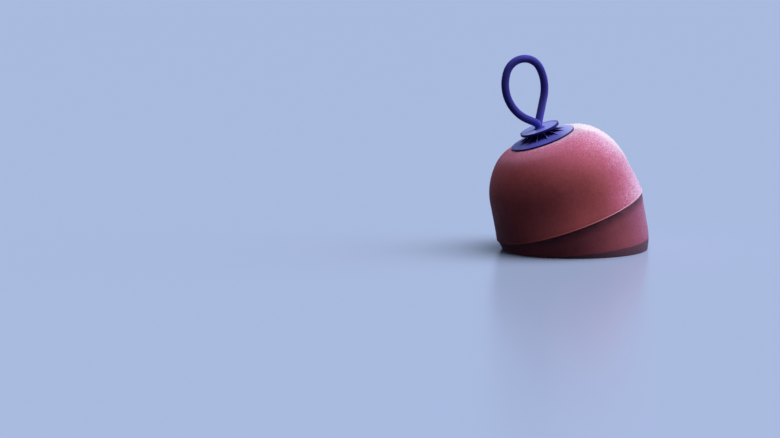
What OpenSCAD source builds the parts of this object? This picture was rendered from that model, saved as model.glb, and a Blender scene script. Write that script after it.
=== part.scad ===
// Mooring buoy afloat at a lean: a two-half float on a coated bar with an eye at each end.
// Every piece is drawn upright on the buoy's own axis, and the whole is then leaned over.
// The origin is where that axis meets the water.

/* [Afloat] */
// Lean of the buoy's axis from upright, in degrees
lean = 19.8; // [0:0.05:30]
// Height of the seam above the water, measured along the axis
seam_up = 95; // [40:1:160]

/* [Float] */
// Diameter of the float over the lip at its seam
float_d = 401; // [340:1:460]
// Height of each half, from the seam to the crown
half_h = 220.5; // [200:0.5:260]
// Draft of the float's side, in degrees
side_draft = 8.5; // [6:0.1:12]
// Radius of the haunch arc, next to the side
haunch_r = 162; // [140:1:185]
// Angle above level that the haunch faces where it meets the shoulder, in degrees
haunch_end = 47; // [35:1:55]
// Radius of the shoulder arc
shoulder_r = 85; // [60:1:100]
// Radius of the crown arc
crown_r = 500; // [400:10:900]
// How far the upper half overhangs the lower half
seam_lap = 2; // [1:0.5:8]
// How far the lip stands out from the side
lip_proud = 0.6; // [0.4:0.1:2]
// Height of the lip above the seam
lip_h = 7; // [4:0.5:12]
// Height of each sloping edge of the lip
lip_edge = 1.6; // [0.5:0.1:1.9]

/* [Flanges] */
// Diameter of a flange
flange_d = 170; // [140:1:200]
// Thickness of a flange's dished plate
flange_t = 4; // [3:0.5:6]
// Diameter of a flange's hub
hub_d = 46; // [36:1:60]
// Height of a flange's hub above the float's crown
hub_h = 17.5; // [14:0.5:28]
// Number of ribs on a flange
rib_count = 12; // [6:1:18]
// Thickness of a rib
rib_t = 2.6; // [1.5:0.1:4]
// Radius at which a rib ends
rib_reach = 64; // [56:1:68]
// How far a rib's top starts below the top of the hub
rib_drop = 1.5; // [1:0.5:4]
// Angle of the first rib from the lean plane, in degrees
rib_start = 0; // [0:1:30]

/* [Collars] */
// Diameter of a collar
collar_d = 104; // [80:1:130]
// Thickness of a collar
collar_t = 5; // [4:0.5:8]
// Height of the raised edge on a collar
collar_edge_h = 1; // [0.5:0.1:2]
// Width of the raised edge on a collar
collar_edge_w = 4; // [2:0.5:8]
// Bevel along a collar's outer edges
collar_bevel = 1.2; // [0.5:0.1:1.8]

/* [Bar and eyes] */
// Diameter of the coated bar
bar_d = 20.5; // [14:0.5:24]
// Height of an eye over its collar
eye_h = 198.5; // [180:0.5:240]
// Radius of the bow's bend, to the bar's centreline
bow_r = 48.5; // [44:0.5:56]
// How far the middle of the bow lies to the side of the axis
bow_shift = 6.5; // [0:0.5:10]
// Bend of the bow on the stem's side, in degrees
stem_side_bend = 53; // [45:0.5:62]
// Radius of the side that runs into the stem
stem_side_r = 103; // [85:1:110]
// Bend of the bow on the lapped side, in degrees
lap_side_bend = 80; // [74:1:86]
// Radius of the side that ends in the lap
lap_side_r = 120; // [100:1:150]
// Radius of the bend from that side into the stem
neck_r = 17.5; // [15:0.5:21]
// Height of the flared foot on the collar
foot_h = 5.5; // [3:0.5:8]
// Distance of the lapped end to the side of the axis
lap_side = 8; // [4:0.5:15]

/* [Fits] */
// Radial clearance of the bar in a hub
bearing_gap = 0.08; // [0.02:0.01:0.1]
// Axial clearance between a hub and its collar
turn_gap = 0.3; // [0.1:0.05:0.5]
// Clearance between a flange and the float's crown
seat_gap = 0.1; // [0.05:0.05:0.5]
// Radial clearance of the bar in the float
core_gap = 2.25; // [1:0.25:6]
// Radial clearance of the bar in a collar
weld_gap = 0.05; // [0.01:0.01:0.1]
// Clearance of the lapped end over the collar
lap_gap = 0.5; // [0.2:0.1:2]
// Clearance between the lapped end and the stem
lap_clear = 0.6; // [0.2:0.1:4]

/* [Hidden] */
$fn = 96;

float_red = "#8f3a44";
float_red_low = "#7a323a";
bar_blue = "#2f2c78";
flange_blue = "#3a3990";

// Steps along the float's section, round a bend, the foot and the bar's end, in degrees,
// and sides of the swept bar
section_step = 2;
bend_step = 7.5;
foot_step = 30;
end_step = 22.5;
bar_sides = 18;

bar_r = bar_d / 2;
float_r = float_d / 2;
flange_r = flange_d / 2;
hub_r = hub_d / 2;
collar_r = collar_d / 2;

// Radius of each half's side at the seam
upper_rim_r = float_r - lip_proud;
lower_rim_r = upper_rim_r - seam_lap;

// Heights above the seam
crown_centre = half_h - crown_r;
hub_top = half_h + hub_h;
collar_base = hub_top + turn_gap;
collar_top = collar_base + collar_t;

// Heights above the collar in the eye's own plane
bow_top = eye_h - bar_r;
lap_up = bar_r + lap_gap;
lap_back = sqrt(pow(bar_d + lap_clear, 2) - pow(lap_side, 2));
lap_tilt = asin(lap_back / (bow_top - lap_up));

// Unit vector at an angle from straight up, turning to the right
function bearing(a) = [sin(a), cos(a)];

// Unit vector at an angle above level
function facing(a) = [cos(a), sin(a)];

// Stations along an arc, both ends included: each a point and its bearing from the centre
function arc(centre, r, from, to, step) =
    let (steps = ceil(abs(to - from) / step))
    [for (i = [0 : steps])
        let (a = from + (to - from) * i / steps)
        [centre + r * bearing(a), a]];

// All but the first of a list, for an arc that starts where the one before it ends
function past_first(list) = [for (i = [1 : len(list) - 1]) list[i]];

// Centre of the shoulder arc. The haunch arc touches the side's slope, the shoulder arc
// touches the haunch where that faces haunch_end, and the crown arc touches the shoulder.
function shoulder_centre(rim_r) =
    let (
        slope = [-sin(side_draft), cos(side_draft)],
        start = [rim_r, 0] - haunch_r * facing(side_draft) + (haunch_r - shoulder_r) * facing(haunch_end),
        to_start = start - [0, crown_centre],
        along = to_start * slope,
        reach = crown_r - shoulder_r
    )
    start + slope * (sqrt(along * along - to_start * to_start + reach * reach) - along);

module afloat() {
    rotate([0, -lean, 0])
        translate([0, 0, seam_up])
            children();
}

module upside_down() {
    mirror([0, 0, 1])
        children();
}

// Half of a float's section: sloping side, haunch, shoulder and crown, each tangent to the next
module half_section(rim_r) {
    shoulder = shoulder_centre(rim_r);
    haunch = shoulder - (haunch_r - shoulder_r) * facing(haunch_end);
    to_shoulder = shoulder - [0, crown_centre];
    crown_edge = atan2(to_shoulder.x, to_shoulder.y);
    stations = concat(
        arc(haunch, haunch_r, 90 - side_draft, 90 - haunch_end, section_step),
        past_first(arc(shoulder, shoulder_r, 90 - haunch_end, crown_edge, section_step)),
        past_first(arc([0, crown_centre], crown_r, crown_edge, 0, section_step))
    );
    polygon(concat([[0, 0], [rim_r, 0]], [for (s = stations) s[0]]));
}

module float_half(rim_r) {
    difference() {
        rotate_extrude()
            half_section(rim_r);
        cylinder(h = 3 * half_h, r = bar_r + core_gap, center = true);
    }
}

module lip() {
    inner = upper_rim_r - lip_h;
    outer = upper_rim_r + lip_proud;
    top_r = upper_rim_r - lip_h * tan(side_draft);
    rotate_extrude()
        polygon([
            [inner, 0], [upper_rim_r, 0], [outer, lip_edge],
            [outer, lip_h - lip_edge], [top_r, lip_h], [inner, lip_h]
        ]);
}

module float_upper() {
    color(float_red)
        afloat()
            union() {
                float_half(upper_rim_r);
                lip();
            }
}

module float_lower() {
    color(float_red_low)
        afloat()
            upside_down()
                float_half(lower_rim_r);
}

module rib() {
    plate_r = crown_r + seat_gap + flange_t;
    end_h = crown_centre + sqrt(plate_r * plate_r - rib_reach * rib_reach);
    under = half_h - flange_r;
    rotate([90, 0, 0])
        linear_extrude(rib_t, center = true)
            polygon([
                [hub_r / 2, under], [rib_reach, under], [rib_reach, end_h],
                [hub_r, hub_top - rib_drop], [hub_r / 2, hub_top - rib_drop]
            ]);
}

module flange() {
    difference() {
        union() {
            intersection() {
                translate([0, 0, crown_centre])
                    sphere(crown_r + seat_gap + flange_t);
                cylinder(h = 2 * half_h, r = flange_r);
            }
            cylinder(h = hub_top, r = hub_r);
            for (i = [0 : rib_count - 1])
                rotate(rib_start + i * 360 / rib_count)
                    rib();
        }
        translate([0, 0, crown_centre])
            sphere(crown_r + seat_gap);
        cylinder(h = 2 * half_h, r = bar_r + bearing_gap);
    }
}

module top_flange() {
    color(flange_blue)
        afloat()
            flange();
}

module bottom_flange() {
    color(flange_blue)
        afloat()
            upside_down()
                flange();
}

module rod() {
    color(bar_blue)
        afloat()
            cylinder(h = 2 * collar_top, r = bar_r, center = true);
}

module collar() {
    inner = bar_r + weld_gap;
    edge_top = collar_t + collar_edge_h;
    edge_in = collar_r - collar_edge_w;
    translate([0, 0, collar_base])
        rotate_extrude()
            polygon([
                [inner, 0], [collar_r - collar_bevel, 0], [collar_r, collar_bevel],
                [collar_r, edge_top - collar_bevel], [collar_r - collar_bevel, edge_top],
                [edge_in, edge_top], [edge_in - collar_edge_h, collar_t], [inner, collar_t]
            ]);
}

module top_collar() {
    color(flange_blue)
        afloat()
            collar();
}

module bottom_collar() {
    color(flange_blue)
        afloat()
            upside_down()
                collar();
}

// One side of an eye in its own plane, from the top of the bow down to a target point.
// With a neck it goes round the target and ends pointing straight down, or else it ends there.
// Each station is a point of the bar's centreline and the bearing of its outer side.
function eye_side(shift, bow_bend, side_r, target, neck = 0) =
    let (
        bow_centre = [shift, bow_top - bow_r],
        side_centre = bow_centre + (bow_r - side_r) * bearing(bow_bend),
        to_target = target - side_centre,
        side_end = atan2(to_target.x, to_target.y) - acos((side_r + neck) / norm(to_target)),
        run_end = target - neck * bearing(side_end)
    )
    concat(
        arc(bow_centre, bow_r, 0, bow_bend, bend_step),
        past_first(arc(side_centre, side_r, bow_bend, side_end, bend_step)),
        neck > 0 ? arc(target, -neck, side_end, 90, bend_step) : [[run_end, side_end]]
    );

// A ring of corners round the bar: the centre, the direction of its outer side and its radius
function ring(centre, out, across, r) =
    [for (i = [0 : bar_sides - 1])
        let (a = i * 360 / bar_sides)
        centre + r * (cos(a) * out + sin(a) * across)];

// Rings up the stem's side, which stands in the upright plane
function stem_rings() =
    let (stations = eye_side(-bow_shift, stem_side_bend, stem_side_r, [neck_r, foot_h], neck_r))
    [for (i = [len(stations) - 1 : -1 : 0])
        let (p = stations[i][0], out = bearing(stations[i][1]))
        ring([-p.x, 0, p.y], [-out.x, 0, out.y], [0, 1, 0], bar_r)];

// Rings round the flared foot, from the collar up to where the neck starts
function foot_rings() =
    [for (a = [0 : foot_step : 90 - foot_step])
        ring([0, 0, foot_h * (1 - cos(a))], [-1, 0, 0], [0, 1, 0], bar_r + foot_h * (1 - sin(a)))];

// Turns a vector of the eye's plane back about the top of the bow
function lapped(v) = [v.x, -v.y * sin(lap_tilt), v.y * cos(lap_tilt)];

// Rings down the lapped side, and round the end of the bar
function lap_rings() =
    let (
        stations = eye_side(bow_shift, lap_side_bend, lap_side_r, [lap_side, lap_up]),
        across = [0, cos(lap_tilt), sin(lap_tilt)],
        top = [0, 0, bow_top],
        last = stations[len(stations) - 1],
        out = lapped(bearing(last[1])),
        ahead = lapped(bearing(last[1] + 90))
    )
    concat(
        [for (i = [1 : len(stations) - 1])
            let (p = stations[i][0] - [0, bow_top])
            ring(top + lapped(p), lapped(bearing(stations[i][1])), across, bar_r)],
        [for (a = [end_step : end_step : 90 - end_step / 2])
            ring(
                top + lapped(last[0] - [0, bow_top]) + bar_r * sin(a) * ahead,
                out, across, bar_r * cos(a)
            )]
    );

// The bar is swept through its rings, with a flat face at the foot and at the tip of the lapped end
module eye() {
    rings = concat(foot_rings(), stem_rings(), lap_rings());
    last = (len(rings) - 1) * bar_sides;
    translate([0, 0, collar_top])
        polyhedron(
            points = [for (r = rings) each r],
            faces = concat(
                [[for (i = [bar_sides - 1 : -1 : 0]) i]],
                [for (k = [0 : len(rings) - 2], i = [0 : bar_sides - 1])
                    let (j = (i + 1) % bar_sides, here = k * bar_sides, next = here + bar_sides)
                    [here + i, here + j, next + j, next + i]],
                [[for (i = [0 : bar_sides - 1]) last + i]]
            )
        );
}

module top_eye() {
    color(bar_blue)
        afloat()
            eye();
}

module bottom_eye() {
    color(bar_blue)
        afloat()
            upside_down()
                eye();
}

float_upper();
float_lower();
top_flange();
bottom_flange();
rod();
top_collar();
bottom_collar();
top_eye();
bottom_eye();
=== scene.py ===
"""Mooring buoy afloat at a lean: a red float in two halves on a coated bar.

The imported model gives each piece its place. This script remakes the visible
pieces with soft edges and fine detail, dresses every piece in a procedural
finish, and sets a plain studio round it. Lengths are in metres.
"""

from __future__ import annotations

import logging
import math
from dataclasses import dataclass, field
from enum import Enum
from typing import Callable, Optional, Sequence

import bmesh
import bpy
from mathutils import Matrix, Vector, noise


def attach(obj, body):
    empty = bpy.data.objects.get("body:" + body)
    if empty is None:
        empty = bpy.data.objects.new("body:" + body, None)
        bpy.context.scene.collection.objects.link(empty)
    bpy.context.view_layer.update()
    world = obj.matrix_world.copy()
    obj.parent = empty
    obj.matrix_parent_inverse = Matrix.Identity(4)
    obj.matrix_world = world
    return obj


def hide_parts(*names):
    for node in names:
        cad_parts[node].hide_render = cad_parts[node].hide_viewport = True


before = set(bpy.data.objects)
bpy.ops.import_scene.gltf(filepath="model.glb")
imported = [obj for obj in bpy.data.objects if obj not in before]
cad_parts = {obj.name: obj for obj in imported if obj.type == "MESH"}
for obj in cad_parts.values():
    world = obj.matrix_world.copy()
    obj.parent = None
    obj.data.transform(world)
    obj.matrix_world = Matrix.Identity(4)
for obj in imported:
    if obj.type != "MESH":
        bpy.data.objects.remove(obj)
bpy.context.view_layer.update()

LOG = logging.getLogger("buoy")
MM = 0.001

Socket = bpy.types.NodeSocket
Direction = tuple[float, float, float]
Colour = tuple[float, float, float]
# An ease: where it starts and ends, and what it gives up to its start and from its end
Ramp = tuple[float, ...]
# A noise: its size, the number of its finer layers, their strength and, for waves, its reach
Noise = tuple[float, ...]
# A bump: its depth and its strength
Relief = tuple[float, float]

UP: Direction = (0.0, 0.0, 1.0)
BACK: Direction = (0.0, 1.0, 0.0)
# Where the frost in the float's finish and the crust of rime come from
RIME_FROM: Direction = (0.62, 0.38, 0.68)
CRUST_FROM: Direction = (0.45, 0.66, 0.60)


class Body(Enum):
    """The bodies that pieces ride on."""

    FLOAT = "float"
    EYE_ROD = "eye_rod"


class Slot(Enum):
    """The record's material slots."""

    FLOAT_RED = "float_red"
    FLANGE_BLUE = "flange_blue"
    BAR_COAT = "bar_coat"


class End(Enum):
    """The two ends of the buoy: the one in the air and the one under water."""

    TOP = "top"
    BOTTOM = "bottom"


@dataclass(frozen=True)
class BuoyAxis:
    """The leaning axis on which every piece is built.

    Heights are measured along the axis from the seam between the float's halves.
    """

    lean: float = 19.8
    seam_up: float = 95 * MM

    def matrix(self, end: End = End.TOP) -> Matrix:
        """Gives the placement of a piece that is built upright.

        Args:
            end: The end of the buoy that the piece belongs to.

        Returns:
            The matrix from the piece's own frame to the row frame.
        """
        placed = Matrix.Rotation(-math.radians(self.lean), 4, "Y") @ Matrix.Translation(
            (0.0, 0.0, self.seam_up)
        )
        if end is End.BOTTOM:
            placed = placed @ Matrix.Scale(-1.0, 4, UP)
        return placed

    def seam(self) -> Vector:
        """Gives the place where the axis meets the seam."""
        return self.matrix().translation

    def direction(self) -> Vector:
        """Gives the way the buoy's top points."""
        return self.matrix().to_3x3() @ Vector(UP)


AXIS = BuoyAxis()


def held(value: float) -> float:
    """Holds a value between 0 and 1."""
    return min(1.0, max(0.0, value))


def eased(value: float) -> float:
    """Eases a value between 0 and 1, level at both ends."""
    share = held(value)
    return share * share * (3.0 - 2.0 * share)


def facing(angle: float) -> Vector:
    """Gives the unit vector at an angle above level, in degrees."""
    return Vector((math.cos(math.radians(angle)), math.sin(math.radians(angle))))


def bearing(angle: float) -> Vector:
    """Gives the unit vector at an angle from straight up, turning to the right, in degrees."""
    return Vector((math.sin(math.radians(angle)), math.cos(math.radians(angle))))


def arc_points(
    centre: Sequence[float], radius: float, start: float, stop: float, step: float
) -> list[Vector]:
    """Lists points along an arc, both ends included.

    Args:
        centre: The arc's centre.
        radius: The arc's radius.
        start: The angle above level at which it starts, in degrees.
        stop: The angle at which it ends.
        step: The largest angle between two points.

    Returns:
        The points, each as a radius and a height.
    """
    count = max(1, math.ceil(abs(stop - start) / step))
    middle = Vector(centre)
    return [middle + radius * facing(start + (stop - start) * i / count) for i in range(count + 1)]


def finer(points: Sequence[Vector], longest: float) -> list[Vector]:
    """Splits each stretch of a line so that no step is longer than a length.

    Args:
        points: The corners of the line.
        longest: The longest step that is kept.

    Returns:
        The line with its added points.
    """
    out: list[Vector] = []
    for a, b in zip(points, points[1:]):
        steps = max(1, math.ceil((b - a).length / longest))
        out += [a.lerp(b, i / steps) for i in range(steps)]
    return out + [points[-1]]


def round_corners(corners: Sequence[tuple[float, float, float]], steps: int = 5) -> list[Vector]:
    """Rounds the corners of a closed outline.

    Args:
        corners: Each corner as a radius, a height and the size of its rounding.
        steps: The number of steps round each corner.

    Returns:
        The points of the rounded outline.
    """
    most = 0.49  # of a side's length, for the rounding at either end
    out: list[Vector] = []
    count = len(corners)
    for i, (x, z, size) in enumerate(corners):
        here = Vector((x, z))
        if size <= 0.0:
            out.append(here)
            continue
        sides = [Vector(corners[j % count][:2]) - here for j in (i - 1, i + 1)]
        a, b = (here + side.normalized() * min(size, side.length * most) for side in sides)
        for k in range(steps + 1):
            t = k / steps
            out.append(a.lerp(here, t).lerp(here.lerp(b, t), t))
    return out


def make_object(name: str, mesh: bmesh.types.BMesh, placed: Matrix, smooth: bool = True) -> bpy.types.Object:
    """Turns a bmesh into an object in the row frame.

    Args:
        name: The piece's name.
        mesh: The mesh in its own frame; it is freed here.
        placed: The matrix to the row frame.
        smooth: Whether its faces are shaded smooth.

    Returns:
        The new object.
    """
    mesh.transform(placed)
    bmesh.ops.recalc_face_normals(mesh, faces=mesh.faces)
    data = bpy.data.meshes.new(name)
    mesh.to_mesh(data)
    mesh.free()
    for face in data.polygons:
        face.use_smooth = smooth
    made = bpy.data.objects.new(name, data)
    bpy.context.scene.collection.objects.link(made)
    return made


def join_round(mesh: bmesh.types.BMesh, rings: Sequence[Sequence[bmesh.types.BMVert]]) -> None:
    """Joins each ring of corners to the next one, and the last to the first.

    Args:
        mesh: The bmesh that the corners are in.
        rings: The rings, which are closed and of equal length.
    """
    for here, after in zip(rings, [*rings[1:], rings[0]]):
        for i in range(len(here)):
            j = (i + 1) % len(here)
            mesh.faces.new((here[i], after[i], after[j], here[j]))


def revolve(
    outline: Sequence[Vector], segments: int, shift: Optional[Callable[[Vector], Vector]] = None
) -> bmesh.types.BMesh:
    """Turns a closed outline round the axis.

    Args:
        outline: The points of the outline, each as a radius and a height.
        segments: The number of segments round the axis.
        shift: Moves a point of the mesh to its final place.

    Returns:
        The closed ring as a bmesh.
    """
    mesh = bmesh.new()
    rings = []
    for k in range(segments):
        turn = math.tau * k / segments
        ring = []
        for p in outline:
            point = Vector((p.x * math.cos(turn), p.x * math.sin(turn), p.y))
            ring.append(mesh.verts.new(shift(point) if shift else point))
        rings.append(ring)
    join_round(mesh, rings)
    return mesh


def skin_rings(rings: Sequence[Sequence[Vector]]) -> bmesh.types.BMesh:
    """Joins rings of points into a tube that is closed at both ends.

    Args:
        rings: Rings of equal length, in order along the tube.

    Returns:
        The tube as a bmesh.
    """
    mesh = bmesh.new()
    loops = [[mesh.verts.new(p) for p in ring] for ring in rings]
    for here, after in zip(loops, loops[1:]):
        for i in range(len(here)):
            j = (i + 1) % len(here)
            mesh.faces.new((here[i], here[j], after[j], after[i]))
    mesh.faces.new(list(reversed(loops[0])))
    mesh.faces.new(loops[-1])
    return mesh


def place(piece: bpy.types.Object, body: Body, slot: Slot, *nodes: str) -> None:
    """Ties a piece to its body, and hides the nodes that it stands for.

    Args:
        piece: The finished piece.
        body: The body that it rides on.
        slot: The slot that its finish comes from; not used.
        nodes: The nodes that it replaces, if any.
    """
    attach(piece, body.value)
    if nodes:
        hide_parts(*nodes)
    LOG.info("%s: %d faces", piece.name, len(piece.data.polygons))


def wear(material: bpy.types.Material, *pieces: bpy.types.Object) -> None:
    """Gives pieces one material in place of those they have.

    Args:
        material: The material.
        pieces: The pieces that wear it.
    """
    for piece in pieces:
        piece.data.materials.clear()
        piece.data.materials.append(material)


@dataclass(frozen=True)
class Grain:
    """A cloudy noise, eased to a share: its size, its finer layers, the ease's limits and its ends."""

    size: float
    detail: float
    rough: float
    low: float
    high: float
    none: float = 0.0
    full: float = 1.0


class Sheet:
    """A material's node sheet, with short calls for the nodes that the finishes use."""

    def __init__(self, name: str) -> None:
        """Starts a material with an empty surface.

        Args:
            name: The material's name.
        """
        self.material = bpy.data.materials.new(name)
        self.material.use_nodes = True
        self.tree = self.material.node_tree
        self.shader = self.tree.nodes["Principled BSDF"]
        self._coords: Optional[bpy.types.Node] = None

    def node(self, kind: str, **settings: object) -> bpy.types.Node:
        """Adds a node and sets its properties.

        Args:
            kind: The node's type.
            settings: Its properties, by name.

        Returns:
            The new node.
        """
        made = self.tree.nodes.new(kind)
        for key, value in settings.items():
            setattr(made, key, value)
        return made

    def feed(self, socket: Socket, value: object) -> None:
        """Links a socket to another one, or sets its value.

        Args:
            socket: The socket that is fed.
            value: The socket that feeds it, or the value that it keeps.
        """
        if isinstance(value, bpy.types.NodeSocket):
            self.tree.links.new(value, socket)
        else:
            socket.default_value = value

    def coords(self, kind: str = "Object") -> Socket:
        """Gives what the surface knows of itself.

        Args:
            kind: "Object" for its own coordinates, or "Normal" for the way that it faces.

        Returns:
            The vector.
        """
        if self._coords is None:
            self._coords = self.node("ShaderNodeTexCoord")
        return self._coords.outputs[kind]

    def math(self, operation: str, first: object, *others: object) -> Socket:
        """Works one value out of several, two at a time from the left.

        Args:
            operation: The operation.
            first: The first value.
            others: The values that follow, or none for an operation on one value.

        Returns:
            The result.
        """
        for other in others or (0.0,):
            made = self.node("ShaderNodeMath", operation=operation)
            self.feed(made.inputs[0], first)
            self.feed(made.inputs[1], other)
            first = made.outputs[0]
        return first

    def product(self, *values: object) -> object:
        """Multiplies values, two at a time from the left, and gives a single one as it is."""
        return self.math("MULTIPLY", *values) if len(values) > 1 else values[0]

    def vector_math(self, operation: str, first: Socket, second: Sequence[float]) -> bpy.types.Node:
        """Works out a vector or a value from a vector and a fixed one.

        Args:
            operation: The operation.
            first: The vector.
            second: The fixed vector.

        Returns:
            The node, with all its outputs.
        """
        made = self.node("ShaderNodeVectorMath", operation=operation)
        self.feed(made.inputs[0], first)
        made.inputs[1].default_value = second
        return made

    def stretch(self, vector: object, scale: Sequence[float]) -> Socket:
        """Scales coordinates differently along each axis.

        Args:
            vector: The coordinates.
            scale: The scale along each axis.

        Returns:
            The scaled coordinates.
        """
        made = self.node("ShaderNodeMapping")
        self.feed(made.inputs["Vector"], vector)
        made.inputs["Scale"].default_value = scale
        return made.outputs["Vector"]

    def towards(self, direction: Sequence[float]) -> Socket:
        """Tells how far the surface faces a direction, from -1 to 1."""
        faced = Vector(direction).normalized()
        return self.vector_math("DOT_PRODUCT", self.coords("Normal"), faced).outputs["Value"]

    def along(self, direction: Sequence[float]) -> Socket:
        """Measures the surface's place along a direction, in metres."""
        return self.vector_math("DOT_PRODUCT", self.coords(), Vector(direction)).outputs["Value"]

    def off_point(self, point: Vector, axis: Optional[Vector] = None) -> Socket:
        """Measures the surface's distance from a point, or from a line through it.

        Args:
            point: The point, in the row frame.
            axis: The line's unit direction.

        Returns:
            The distance, in metres.
        """
        away = self.vector_math("SUBTRACT", self.coords(), point)
        if axis is not None:
            away = self.vector_math("CROSS_PRODUCT", away.outputs["Vector"], axis)
        length = self.node("ShaderNodeVectorMath", operation="LENGTH")
        self.feed(length.inputs[0], away.outputs["Vector"])
        return length.outputs["Value"]

    def off_axis(self) -> Socket:
        """Measures the surface's distance from the buoy's axis, in metres."""
        return self.off_point(AXIS.seam(), AXIS.direction())

    def beyond_seam(self, direction: Vector) -> Socket:
        """Measures how far the surface lies beyond the seam's middle along a direction, in metres."""
        return self.math("SUBTRACT", self.along(direction), AXIS.seam().dot(direction))

    def noise(self, size: float, detail: float, rough: float, vector: Optional[Socket] = None) -> Socket:
        """Makes cloudy noise.

        Args:
            size: The size of its largest patches, in metres.
            detail: The number of finer layers.
            rough: How strongly the finer layers show.
            vector: Other coordinates than the surface's own.

        Returns:
            The noise, mostly between 0.3 and 0.7.
        """
        made = self.node("ShaderNodeTexNoise")
        self.feed(made.inputs["Vector"], vector or self.coords())
        made.inputs["Scale"].default_value = 1.0 / size
        made.inputs["Detail"].default_value = detail
        made.inputs["Roughness"].default_value = rough
        return made.outputs["Fac"]

    def waves(self, size: float, detail: float, rough: float, reach: float) -> Socket:
        """Makes cloudy noise about zero, mostly within a fifth of its reach either way."""
        return self.product(self.math("SUBTRACT", self.noise(size, detail, rough), 0.5), reach)

    def grain(self, grain: Grain) -> Socket:
        """Makes cloudy noise that is eased to a share."""
        cloudy = self.noise(grain.size, grain.detail, grain.rough)
        return self.ease(cloudy, grain.low, grain.high, grain.none, grain.full)

    def cells(self, size: float) -> Socket:
        """Makes the distance to the nearest of many scattered points.

        Args:
            size: The points' usual distance from each other, in metres.

        Returns:
            The distance, from 0 to about 1.
        """
        made = self.node("ShaderNodeTexVoronoi")
        self.feed(made.inputs["Vector"], self.coords())
        made.inputs["Scale"].default_value = 1.0 / size
        return made.outputs["Distance"]

    def ease(
        self, value: object, low: float, high: float, to_low: float = 0.0, to_high: float = 1.0
    ) -> Socket:
        """Eases a value between two limits to a new range.

        Args:
            value: The value that is eased.
            low: Where the ease starts.
            high: Where it ends.
            to_low: What it gives up to the start.
            to_high: What it gives from the end on.

        Returns:
            The eased value.
        """
        made = self.node("ShaderNodeMapRange", interpolation_type="SMOOTHSTEP")
        self.feed(made.inputs["Value"], value)
        limits = {"From Min": low, "From Max": high, "To Min": to_low, "To Max": to_high}
        for key, limit in limits.items():
            made.inputs[key].default_value = limit
        return made.outputs["Result"]

    def blend(self, share: object, first: object, second: object) -> Socket:
        """Blends two colours.

        Args:
            share: The second colour's share.
            first: The first colour, fixed or from a socket.
            second: The second colour.

        Returns:
            The blended colour.
        """
        made = self.node("ShaderNodeMix", data_type="RGBA")
        self.feed(made.inputs[0], share)
        for socket, value in ((made.inputs[6], first), (made.inputs[7], second)):
            self.feed(socket, value if isinstance(value, bpy.types.NodeSocket) else (*value, 1.0))
        return made.outputs[2]

    def layer(self, colour: object, over: object, *shares: object) -> Socket:
        """Lays a colour over another one, by the product of its shares."""
        return self.blend(self.product(*shares), colour, over)

    def bump(self, height: object, depth: float, strength: float, after: Optional[Socket] = None) -> Socket:
        """Raises the surface by a height.

        Args:
            height: The height, from 0 to 1.
            depth: The depth that a height of 1 stands for, in metres.
            strength: How much of it shows.
            after: A bump that this one adds to.

        Returns:
            The normal with the bump in it.
        """
        made = self.node("ShaderNodeBump")
        made.inputs["Strength"].default_value = strength
        made.inputs["Distance"].default_value = depth
        self.feed(made.inputs["Height"], height)
        if after is not None:
            self.feed(made.inputs["Normal"], after)
        return made.outputs["Normal"]

    def finish(self, **inputs: object) -> bpy.types.Material:
        """Feeds the shader's sockets.

        Args:
            inputs: Each socket's value, by its name with underscores for spaces.

        Returns:
            The finished material.
        """
        for key, value in inputs.items():
            if isinstance(value, tuple) and len(value) == 3:
                value = (*value, 1.0)
            self.feed(self.shader.inputs[key.replace("_", " ")], value)
        return self.material


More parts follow.
